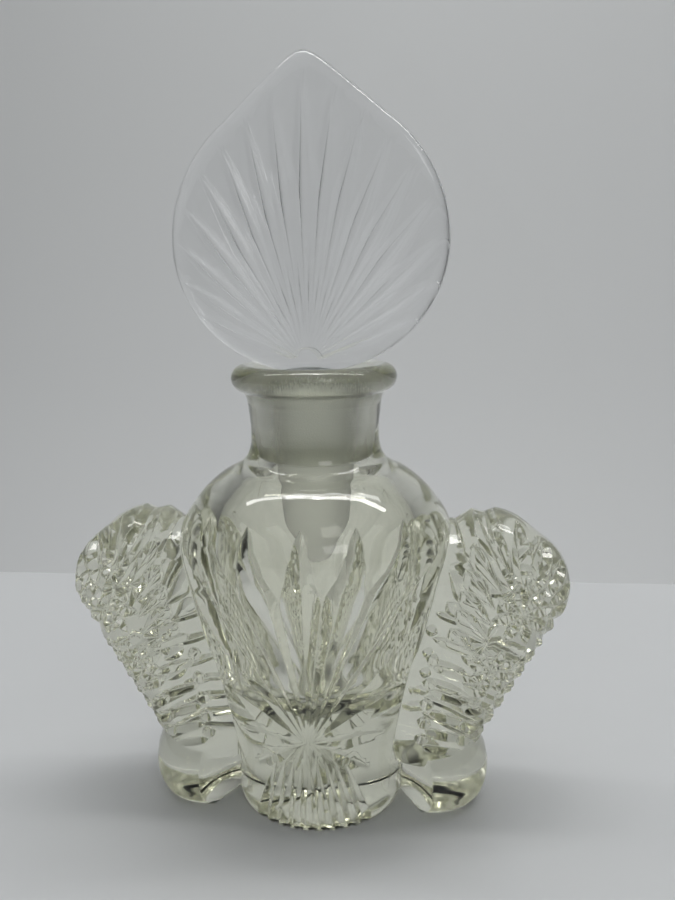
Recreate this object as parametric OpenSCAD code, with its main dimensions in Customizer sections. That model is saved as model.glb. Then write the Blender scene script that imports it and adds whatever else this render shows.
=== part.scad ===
// Pressed-glass perfume bottle with two patterned side wings and a ground-glass stopper.
// Millimetres, +Z up. The origin is the centre of the foot on the surface that the bottle stands on.
// The wings point along +X and -X, and the star-cut panels face -Y and +Y.

/* [Bottle body] */
// Radius of the round base
base_r = 18.4; // [16:0.1:20]
// Largest radius of the body
belly_r = 29.6; // [28:0.1:31]
// Height of the largest radius
belly_z = 60; // [57:0.5:61]
// Height of the smooth ring where the shoulder begins
ring_z = 69; // [68:0.5:70]
// Height of the top of the shoulder, where the neck starts
shoulder_z = 77; // [76:0.5:78]
// Thickness of the solid glass under the cavity
floor_t = 22; // [18:0.5:24]
// Thickness of the glass wall at the belly
wall_t = 7; // [6.5:0.1:8]

/* [Neck and lip] */
// Outer radius of the waist of the neck
neck_r = 13.8; // [13:0.1:14.2]
// Height of the centre of the rolled lip
lip_z = 95.5; // [94.5:0.5:97]
// Radius of the circle that the lip is rolled along
lip_r = 14.8; // [14.2:0.1:15.5]
// Thickness radius of the rolled lip
lip_bead_r = 2.8; // [2.4:0.1:3]
// Radius of the ground bore at its upper edge
bore_top_r = 8.75; // [8.5:0.05:9]
// Radius of the ground bore at its lower edge
bore_low_r = 8.15; // [7.9:0.05:8.3]

/* [Star cutting] */
// Height of the star's centre above the surface it stands on
star_z = 23; // [20:0.5:26]
// Number of long rays above the star's centre on each panel
ray_n = 5; // [3:2:5]
// Turn about the bottle's axis between the tips of neighbouring rays
ray_step = 24; // [18:1:25]
// Share of that turn left between the rays at the star's centre
ray_gather = 0.3; // [0.2:0.05:0.6]
// Half of the included angle of each ray's V groove
ray_half_angle = 50; // [40:1:55]
// Number of short flutes round the edge of the base on each panel
fan_n = 7; // [3:2:9]

/* [Wings and feet] */
// Largest distance from the bottle's axis to a wing's nose
wing_reach = 54.8; // [53:0.1:58]
// Thickness of a wing from front to back
wing_t = 25; // [22:0.5:27]
// Height of the wing's widest point
wing_z = 50.3; // [48:0.1:52]
// Height where a wing stands on its foot
foot_h = 13; // [12:0.5:14]
// Radius of each round foot
foot_r = 13; // [12:0.1:13.5]
// Distance from the bottle's axis to the middle of a foot
foot_x = 25; // [24:0.1:27]
// Depth of the notches across a wing's nose
notch_d = 1.4; // [0.8:0.1:1.8]
// Number of notches across a wing's nose
notch_n = 9; // [5:1:11]

/* [Stopper] */
// Greatest width of the leaf-shaped finial
leaf_w = 59.6; // [50:0.1:62]
// Height of the finial's widest line when the stopper is seated
leaf_z = 123.4; // [121:0.1:126]
// Height of the finial's tip when the stopper is seated
leaf_top = 160.4; // [156:0.1:164]
// Thickness of the finial's plate
leaf_t = 5.2; // [4:0.1:7]
// Distance of the finial's middle line from the plug's axis
leaf_shift = -1.2; // [-1.5:0.1:1.5]
// Turn of the seated stopper about the bottle's axis
leaf_turn = -10; // [-40:1:40]
// Number of flutes on each face of the finial
flute_n = 17; // [5:2:19]
// Radial gap between the ground plug and the ground bore
ground_gap = 0.05; // [0.03:0.01:0.08]
// Height of the plug's blunt lower end when seated
plug_low_z = 54; // [52:0.5:58]

/* [Hidden] */
round_fn = 96;
hull_fn = 32;
glass = [0.88, 0.90, 0.82, 0.55];
clear_glass = [0.93, 0.95, 0.96, 0.55];
ground_glass = [0.80, 0.81, 0.80, 0.9];

// The body swells from the base to the belly along this curve, still widening a little at the belly.
barrel_power = 2;
barrel_span = belly_z + 10;
barrel_steps = 10;
function swell(z) = pow(sin(90 * z / barrel_span), barrel_power);
function barrel_r(z) = base_r + (belly_r - base_r) * swell(z) / swell(belly_z);
barrel = [for (i = [0 : barrel_steps]) let (z = belly_z * i / barrel_steps) [barrel_r(z), z]];

// The shoulder rounds over from the ring to the foot of the neck.
shoulder = [[28.7, 65], [26.2, ring_z], [23.5, 72.3], [20.3, 75], [17.6, 76.3], [15.6, shoulder_z]];
neck_out = [[14.4, 79.5], [neck_r, 83], [neck_r, 86], [14.3, 90], [lip_r - 0.4, lip_z - lip_bead_r + 0.5]];

bore_top_z = 90;
bore_low_z = 77;
mouth_r = 12.4;
mouth_z = lip_z + 1;
collar_r = 9.9;
collar_z = 94;
plug_top_z = 96;

foot_slant = 30;
corner_out = 0.5;
fan_step = 15;
fan_w = 1.6;
fan_h = 14;

// The cavity follows the barrel one wall thickness inside it and closes in under the neck.
cavity_r = belly_r - wall_t;
cavity_steps = 6;
cavity_top = 58;
cavity_side = [for (i = [0 : cavity_steps])
    let (z = floor_t + 6 + (cavity_top - floor_t - 6) * i / cavity_steps) [barrel_r(z) - wall_t, z]];
cavity_neck = [[21.4, 64], [19, 68.4], [14.8, 71.8], [10.4, 74.4]];
cavity_floor = [[0, floor_t], [6, floor_t + 0.7], [10.5, floor_t + 2.8]];

// Where each wing's rounded bar starts, turns and ends: distance from the axis, height, radius.
bar_r = wing_t / 2;
wing_balls = [[wing_reach - bar_r, wing_z, bar_r], [37, wing_z + 4.3, bar_r], [24.1, 19, bar_r],
              [21, wing_z - 0.8, bar_r - 0.3]];
flank_tilt = 31.5;
notch_turn = 13;
notch_half = 1.7;

// The leaf's lower half is an ellipse and its upper half runs straight to a point.
leaf_r = leaf_w / 2;
leaf_bottom = 96.3;
leaf_low_r = leaf_z - leaf_bottom;
leaf_rise = leaf_top - leaf_z;
tip_angle = asin(leaf_r / leaf_rise);
leaf_steps = 24;
leaf_low = [for (i = [0 : leaf_steps]) let (a = 180 + 180 * i / leaf_steps)
    [leaf_r * cos(a), leaf_z + leaf_low_r * sin(a)]];
leaf_high = [for (i = [0 : leaf_steps / 2]) let (a = tip_angle * i / (leaf_steps / 2))
    [leaf_r * cos(a), leaf_z + leaf_r * sin(a)]];
leaf_left = [for (i = [leaf_steps / 2 : -1 : 0]) let (a = tip_angle * i / (leaf_steps / 2))
    [-leaf_r * cos(a), leaf_z + leaf_r * sin(a)]];
hub_z = 98.6;
fan_half = 66;
flute_d = 0.8;
flute_half_w = 1.1;

// Half sections, turned about the bottle's axis.
module barrel_outline() {
    polygon(concat([[0, 0]], barrel, shoulder, [[0, shoulder_z]]));
}

module neck_outline() {
    polygon(concat([[0, shoulder_z], shoulder[len(shoulder) - 1]], neck_out, [[lip_r, lip_z], [0, lip_z]]));
    translate([lip_r, lip_z]) circle(r = lip_bead_r, $fn = hull_fn);
}

module cavity_outline() {
    polygon(concat(cavity_floor, cavity_side, cavity_neck,
        [[bore_low_r, bore_low_z], [bore_top_r, bore_top_z], [mouth_r, mouth_z],
         [mouth_r + 3, lip_z + lip_bead_r + 1], [0, lip_z + lip_bead_r + 1]]));
}

// A long V groove from near the star's centre to a point on the ring, both given as turns about +Z.
// Its edge is straight, so the swelling glass leaves it pointed at both ends and deepest in between.
module ray(turn_low, turn_high) {
    half_turn = (turn_high - turn_low) / 2;
    low_r = barrel_r(star_z) + 0.2;
    high_r = shoulder[1][0];
    rise = ring_z - star_z;
    lean = atan((low_r + high_r) * sin(half_turn) / rise);
    tip_out = atan((high_r - low_r) * cos(half_turn) / rise);
    spread = 8;
    back = -spread / tan(ray_half_angle);
    rotate([0, 0, turn_low + half_turn])
    translate([-low_r * sin(half_turn), -low_r * cos(half_turn), star_z])
    rotate([0, lean, 0])
    rotate([tip_out, 0, 0])
    translate([0, 0, -2])
    linear_extrude(90)
        polygon([[0, 0], [spread, back], [-spread, back]]);
}

// The star panel on the side that faces -Y.
module star_panel() {
    for (i = [0 : ray_n - 1]) {
        turn = (i - (ray_n - 1) / 2) * ray_step;
        ray(turn * ray_gather, turn);
    }
    for (i = [0 : fan_n - 1])
        rotate([0, 0, (i - (fan_n - 1) / 2) * fan_step])
            translate([0, -base_r - 0.3, 0])
            rotate([0, 0, 45])
                cube([fan_w, fan_w, 2 * fan_h], center = true);
}

// The hollow vessel up to the top of the shoulder.
module bottle_body() {
    color(glass) difference() {
        rotate_extrude($fn = round_fn) barrel_outline();
        rotate_extrude($fn = round_fn) cavity_outline();
        star_panel();
        rotate([0, 0, 180]) star_panel();
    }
}

// The waisted neck with its rolled lip, open down the ground bore.
module bottle_neck() {
    color(glass) rotate_extrude($fn = round_fn) difference() {
        neck_outline();
        cavity_outline();
    }
}

// The smooth body with no cutting, used to fit the wings and feet against it.
module body_plug() {
    rotate_extrude($fn = round_fn) barrel_outline();
}

module wing() {
    color(glass) difference() {
        hull() for (b = wing_balls) translate([b[0], 0, b[1]]) sphere(r = b[2], $fn = hull_fn);
        body_plug();
        translate([0, -wing_t, -wing_t]) cube([80, 2 * wing_t, foot_h + wing_t]);
        // Notches step round the nose, from the lower flank up over the dome.
        for (i = [0 : notch_n - 1]) {
            translate([wing_balls[0][0], 0, wing_balls[0][1]])
            rotate([0, flank_tilt - i * notch_turn, 0])
            translate([bar_r - notch_d, 0, 0])
            rotate([90, 0, 0])
            linear_extrude(wing_t + 2, center = true)
                polygon([[0, 0], [4, notch_half * 4 / notch_d], [4, -notch_half * 4 / notch_d]]);
        }
    }
}

module right_wing() {
    wing();
}

module left_wing() {
    mirror([1, 0, 0]) wing();
}

// A bun foot: a fat disc with a rounded lower edge and a softer upper one. Two flat faces cut it back
// from a corner at the front and at the back to the vessel.
module foot() {
    low_edge = 3.5;
    high_edge = 5;
    high_drop = 3.4;
    top_r = foot_r - 1.5;
    color(glass) difference() {
        translate([foot_x, 0, 0]) rotate_extrude($fn = round_fn)
            polygon(concat([[0, 0]],
                [for (a = [-90 : 15 : 0])
                    [foot_r - low_edge + low_edge * cos(a), low_edge + low_edge * sin(a)]],
                [[foot_r, foot_h - high_edge], [foot_r - 0.4, foot_h - high_drop], [top_r, foot_h],
                 [0, foot_h]]));
        body_plug();
        for (side = [0, 1]) mirror([0, side, 0])
            translate([foot_x + corner_out, -foot_r, -1])
            rotate([0, 0, foot_slant])
            translate([-foot_r * 2, -foot_r, 0])
                cube([foot_r * 2, 28, foot_h + 2]);
    }
}

module right_foot() {
    foot();
}

module left_foot() {
    mirror([1, 0, 0]) foot();
}

// The plug's tapered middle fits the ground bore; its lower end hangs in the cavity.
module stopper_plug() {
    color(ground_glass) rotate([0, 0, leaf_turn]) rotate_extrude($fn = round_fn)
        polygon([[0, plug_low_z], [2.6, plug_low_z], [3.9, plug_low_z + 1.2], [6.6, plug_low_z + 7],
            [7.4, plug_low_z + 12], [bore_low_r - ground_gap, bore_low_z],
            [bore_top_r - ground_gap, bore_top_z], [collar_r, collar_z], [collar_r, plug_top_z - 0.6],
            [collar_r - 0.6, plug_top_z], [0, plug_top_z]]);
}

// One flute: a long diamond sunk into a face of the leaf, deepest past its middle.
module flute(len) {
    wide = 0.62 * len;
    polyhedron(
        points = [[0, 0.2, 0], [flute_half_w, 0.2, wide], [0, 0.2, len], [-flute_half_w, 0.2, wide],
                  [0, -flute_d, wide], [0, 2, wide]],
        faces = [[0, 4, 1], [1, 4, 2], [2, 4, 3], [3, 4, 0], [0, 1, 5], [1, 2, 5], [2, 3, 5], [3, 0, 5]]);
}

// Distance from the hub to the rim of the leaf in a direction measured from straight up.
function rim(a) = let (c = leaf_z - hub_z)
    c * cos(a) + sqrt(leaf_r * leaf_r - pow(c * sin(a), 2)) + (abs(a) < 40 ? 5 * cos(2.2 * a) : 0);

module leaf_face() {
    for (i = [0 : flute_n - 1]) {
        a = (i - (flute_n - 1) / 2) * 2 * fan_half / (flute_n - 1);
        translate([0, leaf_t / 2, hub_z]) rotate([0, a, 0])
            translate([0, 0, 9]) flute(0.93 * rim(a) - 12);
    }
}

module stopper_finial() {
    foot_w = 6.5;
    color(clear_glass) rotate([0, 0, leaf_turn]) union() {
        translate([leaf_shift, 0, 0]) difference() {
            rotate([90, 0, 0]) linear_extrude(leaf_t, center = true)
                polygon(concat(leaf_low, leaf_high, [[0, leaf_top]], leaf_left));
            leaf_face();
            mirror([0, 1, 0]) leaf_face();
        }
        translate([0, 0, plug_top_z]) cylinder(h = 8, r1 = foot_w, r2 = leaf_t / 2, $fn = round_fn);
    }
}

bottle_body();
bottle_neck();
left_wing();
right_wing();
left_foot();
right_foot();
stopper_plug();
stopper_finial();
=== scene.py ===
import math

import bpy
from mathutils import Matrix, Vector


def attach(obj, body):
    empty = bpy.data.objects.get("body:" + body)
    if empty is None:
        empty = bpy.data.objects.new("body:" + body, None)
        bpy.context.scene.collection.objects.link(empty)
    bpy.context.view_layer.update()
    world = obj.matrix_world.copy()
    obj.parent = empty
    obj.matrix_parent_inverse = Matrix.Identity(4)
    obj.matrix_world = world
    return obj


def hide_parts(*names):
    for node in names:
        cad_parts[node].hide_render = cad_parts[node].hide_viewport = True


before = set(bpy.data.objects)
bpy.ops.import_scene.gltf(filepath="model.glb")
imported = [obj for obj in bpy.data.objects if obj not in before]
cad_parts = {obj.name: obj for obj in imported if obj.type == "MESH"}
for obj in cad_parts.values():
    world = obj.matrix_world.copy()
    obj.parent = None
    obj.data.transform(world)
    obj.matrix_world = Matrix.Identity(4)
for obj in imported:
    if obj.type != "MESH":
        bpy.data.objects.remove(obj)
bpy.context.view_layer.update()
MM = 0.001


# ---------------------------------------------------------------- studio

LENS = 34.8
SENSOR = 36.0
CAMERA_SPOT = (22.1, -183.3, 114.7)
CAMERA_TURN = 5.4
CAMERA_DIP = 10.8
CAMERA_LEAN = -0.75


def aim_camera():
    """Slightly to the right of the bottle's front panel, looking a little down on it."""
    lens = bpy.data.cameras.new("studio_camera")
    lens.lens = LENS
    lens.sensor_width = SENSOR
    lens.clip_start = 0.01
    camera = bpy.data.objects.new("studio_camera", lens)
    bpy.context.scene.collection.objects.link(camera)
    place = Matrix.Translation(Vector(CAMERA_SPOT) * MM)
    for degrees, axis in ((CAMERA_TURN, "Z"), (90 - CAMERA_DIP, "X"), (CAMERA_LEAN, "Z")):
        place = place @ Matrix.Rotation(math.radians(degrees), 4, axis)
    camera.matrix_world = place
    bpy.context.scene.camera = camera


aim_camera()


# ---------------------------------------------------------------- bench tools

WELD_MM = 0.005
TURNED_SMOOTH = 6
POLISH_ANGLE = 28


def put_down():
    """Leaves edit mode and drops every selection."""
    if bpy.context.object and bpy.context.object.mode != "OBJECT":
        bpy.ops.object.mode_set(mode="OBJECT")
    bpy.ops.object.select_all(action="DESELECT")


def pick_up(piece):
    """Makes a piece the only one selected and the active one."""
    put_down()
    piece.select_set(True)
    bpy.context.view_layer.objects.active = piece


def named(name):
    """Names the piece that was made last, and gives it back."""
    piece = bpy.context.object
    piece.name = name
    piece.data.name = name
    return piece


def rest_at_origin(piece):
    """Moves a piece's place, turn and size into its mesh."""
    pick_up(piece)
    bpy.ops.object.transform_apply(location=True, rotation=True, scale=True)


def face_out(piece, weld=False):
    """Turns every face outwards, once doubled points are welded if that is asked for."""
    pick_up(piece)
    bpy.ops.object.mode_set(mode="EDIT")
    bpy.ops.mesh.select_all(action="SELECT")
    if weld:
        bpy.ops.mesh.remove_doubles(threshold=WELD_MM * MM)
    bpy.ops.mesh.normals_make_consistent(inside=False)
    put_down()


def turned(name, profile, sides):
    """Turns a half profile of (radius, height, corner?) points about the bottle's axis."""
    put_down()
    bpy.ops.curve.primitive_bezier_curve_add(location=(0, 0, 0))
    line = bpy.context.object
    line.data.dimensions = "3D"
    line.data.resolution_u = TURNED_SMOOTH
    points = line.data.splines[0].bezier_points
    points.add(len(profile) - len(points))
    for point, (radius, height, corner) in zip(points, profile):
        point.co = (radius * MM, 0, height * MM)
        kind = "VECTOR" if corner else "AUTO"
        point.handle_left_type = kind
        point.handle_right_type = kind
    bpy.ops.object.convert(target="MESH")
    piece = named(name)
    bpy.ops.object.mode_set(mode="EDIT")
    bpy.ops.mesh.select_all(action="SELECT")
    bpy.ops.mesh.spin(steps=sides, angle=math.tau, center=(0, 0, 0), axis=(0, 0, 1))
    put_down()
    face_out(piece, weld=True)
    return piece


def carve(piece, how="DIFFERENCE"):
    """Picks a piece up and gives it a boolean that has no other half yet."""
    pick_up(piece)
    cut = piece.modifiers.new("cut", "BOOLEAN")
    cut.operation = how
    cut.solver = "MANIFOLD"
    return cut


def trim(piece, other, how="DIFFERENCE"):
    """Joins another closed piece on, or cuts it away, and throws the other piece out."""
    cut = carve(piece, how)
    cut.object = other
    bpy.ops.object.modifier_apply(modifier=cut.name)
    bpy.data.objects.remove(other)


def grind(piece, wheels):
    """Cuts every groove of a list into a piece."""
    rack = bpy.data.collections.new("wheels")
    bpy.context.scene.collection.children.link(rack)
    for wheel in wheels:
        rack.objects.link(wheel)
    cut = carve(piece)
    cut.operand_type = "COLLECTION"
    cut.collection = rack
    bpy.ops.object.modifier_apply(modifier=cut.name)
    for wheel in wheels:
        bpy.data.objects.remove(wheel)
    bpy.data.collections.remove(rack)


blanks = {}


def wheel_blank(stations, sides):
    """A bar with a ring of points at every station, kept for copying."""
    if (stations, sides) not in blanks:
        put_down()
        bpy.ops.mesh.primitive_cylinder_add(vertices=sides, radius=1, depth=1, location=(0, 0, 0))
        bar = named("wheel_blank")
        bpy.ops.object.mode_set(mode="EDIT")
        bpy.ops.mesh.select_mode(type="EDGE")
        bpy.ops.mesh.select_all(action="DESELECT")
        bpy.ops.object.mode_set(mode="OBJECT")
        for edge in bar.data.edges:
            a, b = (bar.data.vertices[i].co for i in edge.vertices)
            edge.select = abs(a.z - b.z) > 0.5
        bpy.ops.object.mode_set(mode="EDIT")
        if stations > 2:
            bpy.ops.mesh.subdivide(number_cuts=stations - 2)
        put_down()
        blanks[(stations, sides)] = bar
    return blanks[(stations, sides)]


# A cutter's half width and height above the glass, as shares of its groove's half width and depth.
FLARE = 1.6
RISE = 0.6
# The width and depth of the two lower corners that make a cutter's edge round, as the same shares.
ROUND_WIDTH = 0.62
ROUND_DEPTH = 0.68


def groove(path, round_edge=False):
    """A wheel's cut along (point, outward, half width, depth) stations, in millimetres."""
    blank = wheel_blank(len(path), 6 if round_edge else 4)
    mesh = blank.data.copy()
    cutter = bpy.data.objects.new("groove", mesh)
    bpy.context.scene.collection.objects.link(cutter)
    last = len(path) - 1
    for vertex in mesh.vertices:
        i = round((vertex.co.z + 0.5) * last)
        point, out, half, deep = path[i]
        along = (path[min(i + 1, last)][0] - path[max(i - 1, 0)][0]).normalized()
        out = (out - along * out.dot(along)).normalized()
        across = out.cross(along)
        side = 0 if abs(vertex.co.x) < 0.5 else math.copysign(1, vertex.co.x)
        if side and (vertex.co.y > 0.2 or not round_edge):
            place = point + across * (side * half * FLARE) + out * (deep * RISE)
        elif side:
            place = point + across * (side * half * ROUND_WIDTH) - out * (deep * ROUND_DEPTH)
        elif vertex.co.y > 0:
            place = point + out * (deep + half * 0.5 + 0.2)
        else:
            place = point - out * deep
        vertex.co = place * MM
    return cutter


def turned_round(wheels, angle):
    """Turns grooves about the bottle's axis."""
    for wheel in wheels:
        wheel.data.transform(Matrix.Rotation(angle, 4, "Z"))
    return wheels


def polish(piece):
    """Shades the glass smooth, apart from the edges that the wheel left."""
    pick_up(piece)
    bpy.ops.object.shade_smooth_by_angle(angle=math.radians(POLISH_ANGLE))


# ---------------------------------------------------------------- vessel

# Radii and heights are in millimetres, turns about the bottle's axis in degrees.
BASE_R = 18.4
BELLY_R = 29.6
BELLY_Z = 60.0
BARREL_SPAN = BELLY_Z + 10
STAR_Z = 22.6
RAY_STEP = 23.5
RAY_HALF = 4.4
RAY_DEEP = 3.2
SIDE_RAYS = ((44, 32.0, 2.7, 1.0), (46, 22.5, 1.9, 0.7), (38, 14.5, 2.3, 0.8))
PILLAR_TURN = 59
FAN_STEP = 13.6
BACK_BITE = 0.5
ROUND_SIDES = 224


def swell(z):
    """How far the barrel has swelled at a height, from 0 at the base."""
    return math.sin(math.radians(90 * max(0.0, min(z, BELLY_Z)) / BARREL_SPAN)) ** 2


def barrel_r(z):
    """Outer radius of the vessel below its belly."""
    return BASE_R + (BELLY_R - BASE_R) * swell(z) / swell(BELLY_Z)


def shoulder_r(z):
    """Outer radius anywhere up to the top of the rays."""
    if z <= BELLY_Z:
        return barrel_r(z)
    return BELLY_R - 3.4 * ((z - BELLY_Z) / 9.0) ** 2


def on_vessel(turn, z):
    """A point on the glass and its outward direction, from a turn in degrees and a height."""
    t = math.radians(turn)
    r = shoulder_r(z)
    slope = (shoulder_r(z + 0.5) - shoulder_r(z - 0.5))
    out = Vector((math.sin(t), -math.cos(t), -slope)).normalized()
    return Vector((r * math.sin(t), -r * math.cos(t), z)), out


def surface_groove(low, high, half, deep, peak=0.5, fine=1.0):
    """A groove that follows the vessel between two (turn, height) points."""
    stations = 11
    path = []
    for i in range(stations):
        t = i / (stations - 1)
        point, out = on_vessel(low[0] + (high[0] - low[0]) * t, low[1] + (high[1] - low[1]) * t)
        part = t / peak if t < peak else (1 - t) / (1 - peak)
        size = max(part ** fine, 0.02)
        path.append((point, out, half * size, deep * size))
    return groove(path)


def star_panel(bite):
    """Seven tall rays cut to a share of their full depth, low rays, and the fan over the base edge."""
    wheels = []
    for k in range(-3, 4):
        top = 69.0 if abs(k) < 3 else 64.0
        wheels.append(surface_groove((k * 0.5, STAR_Z), (k * RAY_STEP, top), RAY_HALF, RAY_DEEP * bite,
                                     peak=0.7))
    for side in (-1, 1):
        for turn, height, half, deep in SIDE_RAYS:
            wheels.append(surface_groove((side * 1.0, STAR_Z), (side * turn, height), half, deep, peak=0.6))
        pillar = side * PILLAR_TURN
        wheels.append(surface_groove((pillar, 54.0), (pillar, 6.0), 0.9, 0.5, fine=0.5))
    for k in range(-2, 3):
        wheels.append(surface_groove((k * 2.4, STAR_Z - 0.5), (k * 9.0, 15.5), 0.5, 0.25, fine=0.6))
    for k in range(-4, 5):
        wheels.append(surface_groove((k * 4.6, 17.4 + 0.12 * k * k), (k * FAN_STEP, -14.0), 2.0, 1.9,
                                     peak=0.6))
    return wheels


LIP_R = 14.8
LIP_Z = 95.5
BEAD_R = 2.8


def make_vessel():
    """The vessel and neck as a solid lump, with the star panels cut."""
    outline = [(0, 0.8, False), (9, 0.6, False), (14.6, 0.3, True), (15.4, 0, True), (17.2, 0, True),
               (18.2, 1.3, False)]
    outline += [(barrel_r(z), z, False) for z in (5, 10, 16, 23, 30, 38, 46, 54, 60)]
    outline += [(28.9, 64.6, False), (26.3, 69, False), (23.4, 72.4, False), (20.0, 75.1, False),
                (17.2, 76.6, False), (15.2, 78.2, False), (14.1, 80.4, False), (13.7, 84, False),
                (14.0, 88, False), (14.4, 91, False), (14.9, 92.4, True)]
    bead = [(LIP_R + BEAD_R * math.cos(math.radians(a)), LIP_Z + BEAD_R * math.sin(math.radians(a)), False)
            for a in range(-70, 111, 20)]
    outline += bead + [(13.2, 97.9, False), (12.9, 97.4, True), (0, 97.4, True)]
    vessel = turned("bottle_glass_body", outline, ROUND_SIDES)
    grind(vessel, star_panel(1.0) + turned_round(star_panel(BACK_BITE), math.pi))
    return vessel


# ---------------------------------------------------------------- wings

BAR_R = 12.5
WING_LOW = 11.6
BALLS = [Vector((42.3, 0, 50.3)), Vector((37, 0, 54.6)), Vector((21, 0, 49.5)), Vector((24.1, 0, 19))]
FLANK_PITCH = 4.2
FLANK_SLOPE = 0.72


def wing_blank():
    """A ball drawn out into a leaning bar: each part of it moves to the corner that it faces."""
    put_down()
    bpy.ops.mesh.primitive_uv_sphere_add(segments=112, ring_count=40, radius=BAR_R * MM,
                                         location=(0, 0, 0), rotation=(math.radians(90), 0, 0))
    wing = named("wing_blank")
    rest_at_origin(wing)
    for vertex in wing.data.vertices:
        facing = Vector((vertex.co.x, 0, vertex.co.z))
        corner = max(BALLS, key=lambda c: c.dot(facing)) if facing.length > 1e-7 else BALLS[1]
        vertex.co = vertex.co + corner * MM
    return wing


def unit(degrees):
    """A direction in the wing's plane."""
    return Vector((math.cos(math.radians(degrees)), 0, math.sin(math.radians(degrees))))


def nose(s):
    """Centre and facing of the wing's nose at a distance along it, from the foot up and over."""
    c1, c2, c4, c3 = BALLS
    flank = (c1 - c3).length
    low_turn = math.degrees(math.atan2((c1 - c3).z, (c1 - c3).x)) - 90
    top_turn = math.degrees(math.atan2((c2 - c1).z, (c2 - c1).x)) - 90
    end_turn = math.degrees(math.atan2((c4 - c2).z, (c4 - c2).x)) % 360 - 90
    if s < flank:
        return c3.lerp(c1, s / flank), unit(low_turn)
    s -= flank
    arc = BAR_R * math.radians(top_turn - low_turn)
    if s < arc:
        return c1, unit(low_turn + math.degrees(s / BAR_R))
    s -= arc
    if s < (c2 - c1).length:
        return c1.lerp(c2, s / (c2 - c1).length), unit(top_turn)
    s -= (c2 - c1).length
    arc = BAR_R * math.radians(end_turn - top_turn)
    if s < arc:
        return c2, unit(top_turn + math.degrees(s / BAR_R))
    s -= arc
    return c2.lerp(c4, min(s / (c4 - c2).length, 1)), unit(end_turn)


def wrap_groove(start, slope, half, deep, reach=54):
    """A groove that winds round the nose from the front face to the back face."""
    stations = 13
    path = []
    for i in range(stations):
        t = -1 + 2 * i / (stations - 1)
        around = math.radians(reach * t)
        centre, face = nose(max(start + slope * BAR_R * around, 0.0))
        out = face * math.cos(around) + Vector((0, -math.sin(around), 0))
        size = max(min(1.0, (1 - abs(t)) * 3.5), 0.03)
        path.append((centre + out * BAR_R, out, half * size, deep * size))
    return groove(path)


def wing_side(x, z, side):
    """The point on the wing's face at a place in its outline, and its outward direction."""
    spot = Vector((x, 0, z))
    inside = True
    nearest = BALLS[0]
    for a, b in zip(BALLS, BALLS[1:] + BALLS[:1]):
        edge = b - a
        part = max(0.0, min(1.0, (spot - a).dot(edge) / edge.length_squared))
        close = a + edge * part
        if edge.cross(spot - a).y > 0:
            inside = False
        if (spot - close).length < (spot - nearest).length:
            nearest = close
    if inside:
        return Vector((x, side * BAR_R, z)), Vector((0, side, 0))
    away = spot - nearest
    lean = min(away.length / BAR_R, 0.97)
    out = away.normalized() * lean + Vector((0, side * math.sqrt(1 - lean * lean), 0))
    return nearest + out * BAR_R, out


def face_groove(a, b, half, deep, side, stations=9, blunt=0.8, petal=False):
    """A groove on the wing's face between two (x, z) places; a petal is blunt at its start."""
    path = []
    for i in range(stations):
        t = i / (stations - 1)
        point, out = wing_side(a[0] + (b[0] - a[0]) * t, a[1] + (b[1] - a[1]) * t, side)
        size = math.sin(math.pi * t) ** blunt
        if petal:
            size = min(1.0, t / 0.25) ** 0.45 * min(1.0, (1 - t) / 0.6) ** 0.9
        size = max(size, 0.03)
        path.append((point, out, half * size, deep * size))
    return groove(path, round_edge=petal)


def wing_star(middle, rays, reach, half, deep, twist, side):
    """A hobstar: grooves that start together in the middle."""
    wheels = []
    for i in range(rays):
        turn = math.radians(i * 360 / rays + twist)
        tip = (middle[0] + reach * math.cos(turn), middle[1] + reach * math.sin(turn))
        wheels.append(face_groove(middle, tip, half, deep, side, stations=7))
    return wheels


PETALS = (((36.4, 65.4), (41.6, 55.0), 1.9), ((33.4, 61.6), (39.4, 52.0), 1.9),
          ((31.8, 57.0), (37.8, 48.8), 1.9), ((30.8, 52.6), (37.4, 45.2), 1.8),
          ((30.0, 48.4), (37.0, 41.4), 1.8), ((28.6, 44.4), (34.6, 37.6), 1.8))
PAD_TOPS = (40.4, 34.6, 29.2, 24.6, 20.4, 16.6)


def pad_edge(z, across):
    """The inner or outer end of the column of pads at a height."""
    return 23.6 + across * 6.4 + (z - 13) * 0.13


def around_star(middle, reach, turn):
    """A place on the wing's face at a distance from a star, in a direction in degrees."""
    turn = math.radians(turn)
    return (middle[0] + reach * math.cos(turn), middle[1] + reach * math.sin(turn))


def wing_rim(middle, turn):
    """How far the wing's outline is from a place on its face, in a direction in degrees."""
    reach = 0.0
    while abs(wing_side(*around_star(middle, reach, turn), 1)[1].y) > 0.30:
        reach += 0.25
    return reach


def ring_groove(middle, reach, start, end, half, deep, side):
    """A groove round a star, from and to directions in degrees."""
    stations = 17
    path = []
    for i in range(stations):
        t = i / (stations - 1)
        point, out = wing_side(*around_star(middle, reach, start + (end - start) * t), side)
        size = max(min(1.0, t * 6, (1 - t) * 6), 0.03)
        path.append((point, out, half * size, deep * size))
    return groove(path)


BIG_STAR = (43.8, 47.4)
SMALL_STAR = (37.6, 34.8)


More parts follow.
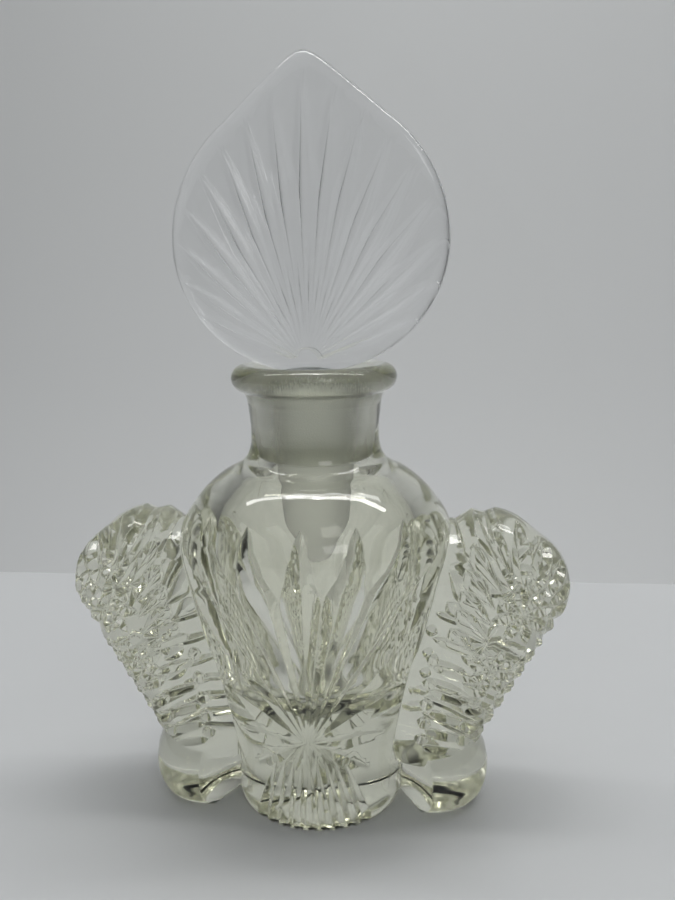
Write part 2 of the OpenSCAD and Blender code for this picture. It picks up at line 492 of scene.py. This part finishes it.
def wing_pattern():
    """The two hobstars with their petals, the column of pads and the diamonds along the flank."""
    wheels = []
    for i in range(8):
        for slope in (-FLANK_SLOPE, FLANK_SLOPE):
            wheels.append(wrap_groove(3.2 + i * FLANK_PITCH, slope, 1.5, 1.1))
    for start in (70.0, 76.5):
        wheels.append(wrap_groove(start, 0.0, 3.2, 1.0, reach=64))
    for side in (-1, 1):
        wheels += wing_star(BIG_STAR, 8, 6.8, 1.55, 1.7, 8, side)
        wheels += wing_star(SMALL_STAR, 8, 5.6, 1.4, 1.4, 20, side)
        for turn in range(-52, 117, 24):
            near = around_star(BIG_STAR, 5.6, turn)
            far = around_star(BIG_STAR, wing_rim(BIG_STAR, turn) + 1.0, turn)
            wheels.append(face_groove(near, far, 2.3, 1.7, side, blunt=0.7))
        wheels.append(ring_groove(BIG_STAR, 8.6, -66, 118, 0.9, 0.75, side))
        for a, b, half in PETALS:
            wheels.append(face_groove(a, b, half, 1.5, side, petal=True))
        for z in PAD_TOPS:
            inner, outer = (pad_edge(z, -0.15), z + 1.3), (pad_edge(z, 1.2), z - 1.7)
            wheels.append(face_groove(inner, outer, 1.15, 1.5, side, blunt=0.3))
        for z in PAD_TOPS[1:]:
            middle = z + 2.4
            inner, outer = (pad_edge(z, -0.40), middle + 1.0), (pad_edge(z, 0.05), middle)
            wheels.append(face_groove(inner, outer, 1.5, 1.2, side))
            inner, outer = (pad_edge(z, 0.95), middle + 0.6), (pad_edge(z, 1.7), middle - 2.4)
            wheels.append(face_groove(inner, outer, 1.5, 1.3, side))
    return wheels


def make_wing():
    """The wing, patterned, and cut off flat where it stands on its foot."""
    wing = wing_blank()
    grind(wing, wing_pattern())
    pick_up(wing)
    bpy.ops.object.mode_set(mode="EDIT")
    bpy.ops.mesh.select_all(action="SELECT")
    bpy.ops.mesh.bisect(plane_co=(0, 0, WING_LOW * MM), plane_no=(0, 0, -1),
                        use_fill=True, clear_outer=True)
    put_down()
    return wing


def mirrored(piece, name):
    """The same piece on the other side of the bottle."""
    copy = piece.copy()
    copy.data = piece.data.copy()
    bpy.context.scene.collection.objects.link(copy)
    copy.name = name
    copy.scale = (-1, 1, 1)
    rest_at_origin(copy)
    face_out(copy)
    return copy


# ---------------------------------------------------------------- feet

FOOT_X = 25.0
FOOT_R = 13.0
FOOT_SLANT = 30
FOOT_SIDES = 96
CORNER_OUT = 0.5


def make_foot():
    """A ball-like foot with flat inner faces that meet its round in a corner at the front and back."""
    profile = [(0, 0.35, False), (6.8, 0.3, True), (7.6, 0, True), (8.8, 0, True), (9.6, 0.35, False),
               (11.2, 1.6, False), (12.4, 3.8, False), (13.0, 7.0, False), (12.8, 10.2, False),
               (12.0, 13.2, False), (10.4, 15.6, False), (7.6, 17.2, False), (0, 18.0, False)]
    foot = turned("foot_blank", profile, FOOT_SIDES)
    foot.data.transform(Matrix.Translation((FOOT_X * MM, 0, 0)))
    pick_up(foot)
    bpy.ops.object.mode_set(mode="EDIT")
    slant = math.radians(FOOT_SLANT)
    for side in (-1, 1):
        bpy.ops.mesh.select_all(action="SELECT")
        bpy.ops.mesh.bisect(plane_co=((FOOT_X + CORNER_OUT) * MM, side * FOOT_R * MM, 0),
                            plane_no=(-math.cos(slant), side * math.sin(slant), 0),
                            use_fill=True, clear_outer=True)
    put_down()
    return foot


# ---------------------------------------------------------------- bottle

WALL = 7.0


def make_bottle():
    """Vessel, wings and feet as one lump of glass, hollowed, with the bore ground into its neck."""
    bottle = make_vessel()
    wing = make_wing()
    foot = make_foot()
    trim(bottle, mirrored(wing, "wing_copy"), "UNION")
    trim(bottle, wing, "UNION")
    trim(bottle, mirrored(foot, "foot_copy"), "UNION")
    trim(bottle, foot, "UNION")
    hollow = [(0, 22.0, False), (5.0, 22.5, False), (9.6, 24.0, False), (13.6, 27.0, False),
              (16.6, 31.0, False)]
    hollow += [(barrel_r(z) - WALL, z, False) for z in (36, 42, 48, 53, 57)]
    hollow += [(22.2, 61.5, False), (20.6, 66.0, False), (17.6, 69.8, False), (13.6, 72.8, False),
               (9.8, 75.0, False), (8.15, 77, True), (8.75, 90, True), (9.6, 92, False),
               (11.2, 94.6, False), (12.3, 96.4, False), (13.3, 98.0, False), (14.6, 99.6, True),
               (0, 99.6, True)]
    trim(bottle, turned("hollow", hollow, ROUND_SIDES))
    bottle.name = "perfume_bottle"
    bottle.data.name = "perfume_bottle"
    polish(bottle)
    return bottle


# ---------------------------------------------------------------- stopper

LEAF_R = 29.8
LEAF_Z = 123.4
LEAF_TOP = 160.4
LEAF_DROP = 27.1
TIP_ROUND = 0.12
LEAF_POINTS = 192
LEAF_TURN = math.radians(-10)
LEAF_SHIFT = -1.2
HUB_Z = 98.6
LEAF_MIDDLE = 121.0
PLUG_SIDES = 96


def leaf_outline(turn):
    """Half width and height of the leaf's edge: an ellipse below, drawn to a rounded point above."""
    x = math.sin(turn)
    z = math.cos(turn)
    if z <= 0:
        return LEAF_R * x, LEAF_Z + LEAF_DROP * z
    tangent = math.acos(LEAF_R / (LEAF_TOP - LEAF_Z))
    if abs(turn) > tangent:
        return LEAF_R * x, LEAF_Z + LEAF_R * z
    t = abs(turn) / tangent
    drop = LEAF_TOP - LEAF_Z - LEAF_R * math.cos(tangent)
    bulge = drop * (t + TIP_ROUND - math.sqrt(t * t + TIP_ROUND ** 2) - 0.115 * t)
    edge_x = LEAF_R * math.sin(tangent) * t
    return math.copysign(edge_x + bulge * 0.45, turn), LEAF_TOP - drop * t + bulge


RIM_START = 1.0
RIM_STEPS = ((1.0, 1.0), (1.5, 0.993), (1.9, 0.980), (2.2, 0.962), (2.35, 0.93), (2.5, 0.80), (2.7, 0.6),
             (2.85, 0.35), (2.9, 0.1))


def draw_rim(depth, steps):
    """Draws the picked ring of points through (depth, size) steps and closes the end with a face."""
    centre = Vector((0, 0, LEAF_MIDDLE * MM))
    size = 1.0
    for new_depth, new_size in steps:
        shift = (0, (new_depth - depth) * MM, 0)
        bpy.ops.mesh.extrude_region_move(TRANSFORM_OT_translate={"value": shift})
        ratio = new_size / size
        bpy.ops.transform.resize(value=(ratio, 1, ratio), center_override=centre)
        depth, size = new_depth, new_size
    bpy.ops.mesh.edge_face_add()


def make_leaf():
    """A plate with a rounded rim and gently crowned faces."""
    put_down()
    bpy.ops.mesh.primitive_circle_add(vertices=LEAF_POINTS, radius=1, fill_type="NOTHING",
                                      location=(0, 0, 0))
    leaf = named("leaf_blank")
    for vertex in leaf.data.vertices:
        x, z = leaf_outline(math.atan2(vertex.co.x, vertex.co.y))
        vertex.co = Vector((x, -RIM_START, z)) * MM
    bpy.ops.object.mode_set(mode="EDIT")
    bpy.ops.mesh.select_all(action="SELECT")
    draw_rim(-RIM_START, RIM_STEPS)
    bpy.ops.mesh.select_mode(type="VERT")
    bpy.ops.mesh.select_all(action="DESELECT")
    bpy.ops.object.mode_set(mode="OBJECT")
    for vertex in leaf.data.vertices:
        vertex.select = vertex.co.y < -0.99 * RIM_START * MM
    bpy.ops.object.mode_set(mode="EDIT")
    draw_rim(-RIM_START, [(-depth, size) for depth, size in RIM_STEPS[1:]])
    put_down()
    face_out(leaf, weld=True)
    return leaf


def leaf_reach(turn, from_z=HUB_Z):
    """Distance from a height on the leaf's middle line to its rim, at a lean from upright."""
    best = 0.0
    for i in range(721):
        x, z = leaf_outline(math.radians(i * 0.25 - 90) * 2)
        if abs(math.atan2(x, z - from_z) - turn) < 0.012:
            best = max(best, math.hypot(x, z - from_z))
    return best


def leaf_skin(spot):
    """Half the leaf's thickness at a place in its outline, and how far out to the rim that place is."""
    x, z = spot.x, spot.z - LEAF_MIDDLE
    part = math.hypot(x, z) / leaf_reach(math.atan2(x, z), LEAF_MIDDLE)
    for (outer_skin, outer), (inner_skin, inner) in zip(RIM_STEPS, RIM_STEPS[1:]):
        if part > inner:
            t = max(0.0, (outer - part) / (outer - inner))
            return outer_skin + (inner_skin - outer_skin) * t, part
    return RIM_STEPS[-1][0], part


FLUTE_LEANS = (7, 14, 21.8, 30, 39, 48.5, 58, 67.5)
FLUTE_START = 3.0
FLUTE_HALF = 1.9


def leaf_flutes():
    """Flutes that crowd together at the hub and draw out to a point below the rim."""
    wheels = []
    stations = 15
    for degrees in [0] + [lean * sign for lean in FLUTE_LEANS for sign in (-1, 1)]:
        turn = math.radians(degrees)
        way = Vector((math.sin(turn), 0, math.cos(turn)))
        tip = leaf_reach(turn) - (3.2 if abs(degrees) < 45 else 2.6)
        for side in (-1, 1):
            path = []
            for i in range(stations):
                t = i / (stations - 1)
                along = FLUTE_START + (tip - FLUTE_START) * t
                spot = Vector((0, 0, HUB_Z)) + way * along
                skin = leaf_skin(spot)[0]
                half = min(0.15 + along * 0.060, FLUTE_HALF) * min(1.0, (1 - t) / 0.42) ** 0.75
                half = max(half, 0.03)
                out = Vector((0, side, 0))
                path.append((spot + out * skin, out, half, half * 0.42 + 0.02))
            wheels.append(groove(path, round_edge=True))
    return wheels


POLISHED, GROUND, SATIN = range(3)


def mark_flutes(leaf):
    """Gives the flutes' faces the satin finish: they lie below the leaf's skin and inside its rim."""
    leaf.data.materials.clear()
    for finish in (POLISHED, GROUND, SATIN):
        leaf.data.materials.append(None)
    for face in leaf.data.polygons:
        spot = face.center / MM
        skin, part = leaf_skin(spot)
        face.material_index = SATIN if part < 0.94 and abs(spot.y) < skin - 0.06 else POLISHED


def make_stopper():
    """The fluted leaf and the ground plug as one lump of glass."""
    leaf = make_leaf()
    grind(leaf, leaf_flutes())
    mark_flutes(leaf)
    leaf.data.transform(Matrix.Translation((LEAF_SHIFT * MM, 0, 0)))
    plug = turned("plug", [(0, 54.2, False), (2.6, 54, False), (3.8, 54.9, False), (5.0, 57.4, False),
                           (6.6, 61.2, False), (7.4, 66, False), (8.1, 77, True), (8.7, 90, True),
                           (9.4, 91.8, False), (9.9, 93.6, False), (9.9, 95.2, False), (9.3, 96.1, False),
                           (7.0, 96.7, False), (3.6, 97.3, False), (0, 97.6, False)], PLUG_SIDES)
    trim(leaf, plug, "UNION")
    leaf.name = "glass_stopper"
    leaf.data.name = "glass_stopper"
    leaf.data.transform(Matrix.Rotation(LEAF_TURN, 4, "Z"))
    polish(leaf)
    return leaf


bottle = make_bottle()
stopper = make_stopper()
for blank in blanks.values():
    bpy.data.objects.remove(blank)


# ---------------------------------------------------------------- finishes

def new_group(name, inputs, outputs):
    """A shader node group with named number or colour sockets."""
    group = bpy.data.node_groups.new(name, "ShaderNodeTree")
    for label, kind, value in inputs:
        socket = group.interface.new_socket(name=label, in_out="INPUT", socket_type=kind)
        if value is not None:
            socket.default_value = value
    for label, kind in outputs:
        group.interface.new_socket(name=label, in_out="OUTPUT", socket_type=kind)
    return group, group.nodes.new("NodeGroupInput"), group.nodes.new("NodeGroupOutput")


def math_node(tree, operation, a, b, clamp=False):
    """A step of arithmetic on two numbers or sockets; gives back its output."""
    node = tree.nodes.new("ShaderNodeMath")
    node.operation = operation
    node.use_clamp = clamp
    for socket, value in zip(node.inputs, (a, b)):
        if hasattr(value, "node"):
            tree.links.new(value, socket)
        else:
            socket.default_value = value
    return node.outputs[0]


def moulded_skin_group():
    """The slow swells and fine chill marks that a mould leaves on pressed glass."""
    group, given, out = new_group("moulded_skin",
                                  (("Swell Size", "NodeSocketFloat", 90.0),
                                   ("Chill Size", "NodeSocketFloat", 600.0),
                                   ("Chill", "NodeSocketFloat", 0.2), ("Smooth", "NodeSocketFloat", 0.01),
                                   ("Dull", "NodeSocketFloat", 0.06)),
                                  (("Height", "NodeSocketFloat"), ("Roughness", "NodeSocketFloat")))
    where = group.nodes.new("ShaderNodeTexCoord")
    swell = group.nodes.new("ShaderNodeTexNoise")
    swell.inputs["Detail"].default_value = 1.5
    chill = group.nodes.new("ShaderNodeTexNoise")
    chill.inputs["Detail"].default_value = 3.0
    smear = group.nodes.new("ShaderNodeTexNoise")
    smear.inputs["Scale"].default_value = 45.0
    smear.inputs["Detail"].default_value = 4.0
    link = group.links.new
    for noise in (swell, chill, smear):
        link(where.outputs["Object"], noise.inputs["Vector"])
    link(given.outputs["Swell Size"], swell.inputs["Scale"])
    link(given.outputs["Chill Size"], chill.inputs["Scale"])
    marks = math_node(group, "MULTIPLY", chill.outputs["Fac"], given.outputs["Chill"])
    link(math_node(group, "ADD", swell.outputs["Fac"], marks), out.inputs["Height"])
    spread = math_node(group, "SUBTRACT", given.outputs["Dull"], given.outputs["Smooth"])
    worn = math_node(group, "SUBTRACT", smear.outputs["Fac"], 0.45, clamp=True)
    part = math_node(group, "MULTIPLY", math_node(group, "MULTIPLY", worn, 3.0, clamp=True), spread)
    link(math_node(group, "ADD", part, given.outputs["Smooth"]), out.inputs["Roughness"])
    return group


def ground_mark_group():
    """Grinding marks: rings round the stopper's axis, over the grain of the abrasive."""
    group, given, out = new_group("ground_marks",
                                  (("Grain Size", "NodeSocketFloat", 3500.0),
                                   ("Ring Size", "NodeSocketFloat", 900.0),
                                   ("Low", "NodeSocketFloat", 0.35), ("High", "NodeSocketFloat", 0.65)),
                                  (("Height", "NodeSocketFloat"), ("Roughness", "NodeSocketFloat"),
                                   ("Mask", "NodeSocketFloat")))
    where = group.nodes.new("ShaderNodeTexCoord")
    stretch = group.nodes.new("ShaderNodeMapping")
    stretch.inputs["Scale"].default_value = (0.06, 0.06, 1.0)
    grain = group.nodes.new("ShaderNodeTexNoise")
    grain.inputs["Detail"].default_value = 2.0
    rings = group.nodes.new("ShaderNodeTexNoise")
    rings.inputs["Detail"].default_value = 3.0
    link = group.links.new
    link(where.outputs["Object"], grain.inputs["Vector"])
    link(where.outputs["Object"], stretch.inputs["Vector"])
    link(stretch.outputs["Vector"], rings.inputs["Vector"])
    link(given.outputs["Grain Size"], grain.inputs["Scale"])
    link(given.outputs["Ring Size"], rings.inputs["Scale"])
    ridges = math_node(group, "MULTIPLY", rings.outputs["Fac"], 0.8)
    link(math_node(group, "ADD", grain.outputs["Fac"], ridges), out.inputs["Height"])
    spread = math_node(group, "SUBTRACT", given.outputs["High"], given.outputs["Low"])
    part = math_node(group, "MULTIPLY", rings.outputs["Fac"], spread)
    link(math_node(group, "ADD", part, given.outputs["Low"]), out.inputs["Roughness"])
    link(rings.outputs["Fac"], out.inputs["Mask"])
    return group


moulded_skin = moulded_skin_group()
ground_marks = ground_mark_group()


def glass_base(name, colour, ior):
    """A clear glass material, before its surface is set."""
    material = bpy.data.materials.new(name)
    material.use_nodes = True
    tree = material.node_tree
    shader = tree.nodes["Principled BSDF"]
    shader.inputs["Base Color"].default_value = (*colour, 1.0)
    shader.inputs["Transmission Weight"].default_value = 1.0
    shader.inputs["Metallic"].default_value = 0.0
    shader.inputs["IOR"].default_value = ior
    return material, tree, shader


def polished_glass(name, colour, depth_colour, density, swell, bump):
    """Clear fire-polished glass, tinted by its thickness."""
    material, tree, shader = glass_base(name, colour, 1.52)
    skin = tree.nodes.new("ShaderNodeGroup")
    skin.node_tree = moulded_skin
    skin.inputs["Swell Size"].default_value = swell
    skin.inputs["Chill Size"].default_value = 520.0
    skin.inputs["Chill"].default_value = 0.02
    skin.inputs["Smooth"].default_value = 0.0
    skin.inputs["Dull"].default_value = 0.05
    relief = tree.nodes.new("ShaderNodeBump")
    relief.inputs["Strength"].default_value = bump
    relief.inputs["Distance"].default_value = 0.0006
    softened = tree.nodes.new("ShaderNodeBevel")
    softened.samples = 6
    softened.inputs["Radius"].default_value = 0.45 * MM
    tree.links.new(softened.outputs["Normal"], relief.inputs["Normal"])
    tree.links.new(skin.outputs["Height"], relief.inputs["Height"])
    tree.links.new(relief.outputs["Normal"], shader.inputs["Normal"])
    tree.links.new(skin.outputs["Roughness"], shader.inputs["Roughness"])
    depth = tree.nodes.new("ShaderNodeVolumeAbsorption")
    depth.inputs["Color"].default_value = (*depth_colour, 1.0)
    depth.inputs["Density"].default_value = density
    tree.links.new(depth.outputs["Volume"], tree.nodes["Material Output"].inputs["Volume"])
    return material


def ground_glass(name, colour, pale, dark, low, high, clear=1.0):
    """Glass ground to a grey frost, with rings left by the grinding."""
    material, tree, shader = glass_base(name, colour, 1.5)
    shader.inputs["Transmission Weight"].default_value = clear
    marks = tree.nodes.new("ShaderNodeGroup")
    marks.node_tree = ground_marks
    marks.inputs["Low"].default_value = low
    marks.inputs["High"].default_value = high
    tones = tree.nodes.new("ShaderNodeMix")
    tones.data_type = "RGBA"
    tones.inputs["A"].default_value = (*dark, 1.0)
    tones.inputs["B"].default_value = (*pale, 1.0)
    tree.links.new(marks.outputs["Mask"], tones.inputs["Factor"])
    tree.links.new(tones.outputs["Result"], shader.inputs["Base Color"])
    relief = tree.nodes.new("ShaderNodeBump")
    relief.inputs["Strength"].default_value = 0.6
    relief.inputs["Distance"].default_value = 0.0001
    tree.links.new(marks.outputs["Height"], relief.inputs["Height"])
    tree.links.new(relief.outputs["Normal"], shader.inputs["Normal"])
    tree.links.new(marks.outputs["Roughness"], shader.inputs["Roughness"])
    return material


straw_glass = polished_glass("straw_pressed_glass", (0.968, 0.970, 0.905), (0.78, 0.79, 0.66), 20.0, 110.0,
                             0.12)
white_glass = polished_glass("colourless_stopper_glass", (0.99, 0.992, 0.995), (0.84, 0.86, 0.87), 6.0, 160.0,
                             0.12)
satin_glass = ground_glass("satin_flutes", (0.99, 0.99, 0.99), (1.0, 1.0, 1.0), (0.97, 0.975, 0.98),
                           0.16, 0.24, 0.66)
frosted_bore = ground_glass("ground_bore", (0.98, 0.98, 0.97), (1.0, 1.0, 0.98), (0.92, 0.93, 0.91),
                            0.36, 0.60)
frosted_plug = ground_glass("ground_plug", (0.96, 0.96, 0.95), (0.99, 0.99, 0.97), (0.88, 0.89, 0.87),
                            0.40, 0.66)

BORE_R = 12.2
BORE_LOW = 76.8
BORE_TOP = 96.2
PLUG_TOP = 95.9

bottle.data.materials.clear()
for finish in (straw_glass, frosted_bore):
    bottle.data.materials.append(finish)
for face in bottle.data.polygons:
    spot = face.center / MM
    in_bore = math.hypot(spot.x, spot.y) < BORE_R and BORE_LOW < spot.z < BORE_TOP
    face.material_index = GROUND if in_bore else POLISHED

stopper.data.materials.clear()
for finish in (white_glass, frosted_plug, satin_glass):
    stopper.data.materials.append(finish)
for face in stopper.data.polygons:
    if face.center.z / MM < PLUG_TOP:
        face.material_index = GROUND

bottle_nodes = ("bottle_body", "bottle_neck", "left_wing", "right_wing", "left_foot", "right_foot")
stopper_nodes = ("stopper_plug", "stopper_finial")
for piece, body, slot, nodes in ((bottle, "bottle", "bottle_glass", bottle_nodes),
                                 (stopper, "stopper", "stopper_glass", stopper_nodes)):
    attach(piece, body)
    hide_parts(*nodes)


# ---------------------------------------------------------------- floor, backdrop and light

def plain_paint(name, colour, roughness, grain):
    """Matt paint with a faint mottle."""
    material = bpy.data.materials.new(name)
    material.use_nodes = True
    tree = material.node_tree
    shader = tree.nodes["Principled BSDF"]
    shader.inputs["Roughness"].default_value = roughness
    where = tree.nodes.new("ShaderNodeTexCoord")
    mottle = tree.nodes.new("ShaderNodeTexNoise")
    mottle.inputs["Scale"].default_value = grain
    mottle.inputs["Detail"].default_value = 5.0
    tones = tree.nodes.new("ShaderNodeMix")
    tones.data_type = "RGBA"
    tones.inputs["A"].default_value = (*[c * 0.965 for c in colour], 1.0)
    tones.inputs["B"].default_value = (*colour, 1.0)
    tree.links.new(where.outputs["Object"], mottle.inputs["Vector"])
    tree.links.new(mottle.outputs["Fac"], tones.inputs["Factor"])
    tree.links.new(tones.outputs["Result"], shader.inputs["Base Color"])
    return material


def slab(name, low, high, material):
    """A box of the studio between two corners, in metres."""
    put_down()
    middle = [(a + b) / 2 for a, b in zip(low, high)]
    bpy.ops.mesh.primitive_cube_add(size=1, location=middle)
    piece = named(name)
    piece.scale = [b - a for a, b in zip(low, high)]
    rest_at_origin(piece)
    piece.data.materials.append(material)
    return piece


table_paint = plain_paint("pale_table", (0.56, 0.575, 0.585), 0.38, 30.0)
wall_paint = plain_paint("grey_wall", (0.56, 0.575, 0.58), 0.8, 3.0)
slab("studio_floor", (-1.6, -1.8, -0.02), (1.6, 0.145, 0.0), table_paint)
slab("studio_wall", (-3.0, 1.10, -1.2), (3.0, 1.12, 2.0), wall_paint)


def soft_light(name, spot, aim, size, power, colour=(1, 1, 1)):
    """A soft box at one place, facing another."""
    data = bpy.data.lights.new(name, "AREA")
    data.shape = "RECTANGLE"
    data.size, data.size_y = size
    data.energy = power
    data.color = colour
    light = bpy.data.objects.new(name, data)
    bpy.context.scene.collection.objects.link(light)
    light.location = spot
    light.rotation_euler = (Vector(aim) - Vector(spot)).to_track_quat("-Z", "Y").to_euler()


WARM = (1.0, 0.99, 0.97)
soft_light("ceiling_left", (-0.42, 0.10, 1.3), (0, 0.05, 0.0), (0.10, 1.1), 3.2, WARM)
soft_light("ceiling_right", (0.46, 0.10, 1.3), (0, 0.05, 0.0), (0.10, 1.1), 4.6, WARM)
soft_light("front_fill", (0.5, -1.1, 0.9), (0, 0, 0.08), (0.5, 0.4), 1.7)
soft_light("wall_wash_low", (0.0, 0.2, -0.7), (0, 1.1, 0.1), (2.2, 0.4), 10.3)
soft_light("wall_wash_high", (0.3, 0.3, 1.6), (0.1, 1.1, 0.7), (1.6, 0.3), 8.6)


def studio_air():
    """Even light from above that fades to a dim room at the height of the table."""
    world = bpy.data.worlds.new("studio_air")
    bpy.context.scene.world = world
    world.use_nodes = True
    tree = world.node_tree
    sky = tree.nodes["Background"]
    where = tree.nodes.new("ShaderNodeTexCoord")
    parts = tree.nodes.new("ShaderNodeSeparateXYZ")
    tree.links.new(where.outputs["Generated"], parts.inputs["Vector"])
    ramp = tree.nodes.new("ShaderNodeValToRGB")
    ramp.color_ramp.elements[0].position = 0.0
    ramp.color_ramp.elements[0].color = (0.03, 0.03, 0.03, 1)
    ramp.color_ramp.elements[1].position = 1.0
    ramp.color_ramp.elements[1].color = (0.80, 0.81, 0.82, 1)
    height = math_node(tree, "SUBTRACT", parts.outputs["Z"], 0.08)
    level = math_node(tree, "MULTIPLY", height, 1.1, clamp=True)
    tree.links.new(level, ramp.inputs["Fac"])
    tree.links.new(ramp.outputs["Color"], sky.inputs["Color"])
    sky.inputs["Strength"].default_value = 0.63


studio_air()
bpy.context.scene.cycles.max_bounces = 32
bpy.context.scene.cycles.transmission_bounces = 32
bpy.context.scene.cycles.glossy_bounces = 12
bpy.context.scene.cycles.transparent_max_bounces = 16
bpy.context.scene.view_settings.view_transform = "Standard"
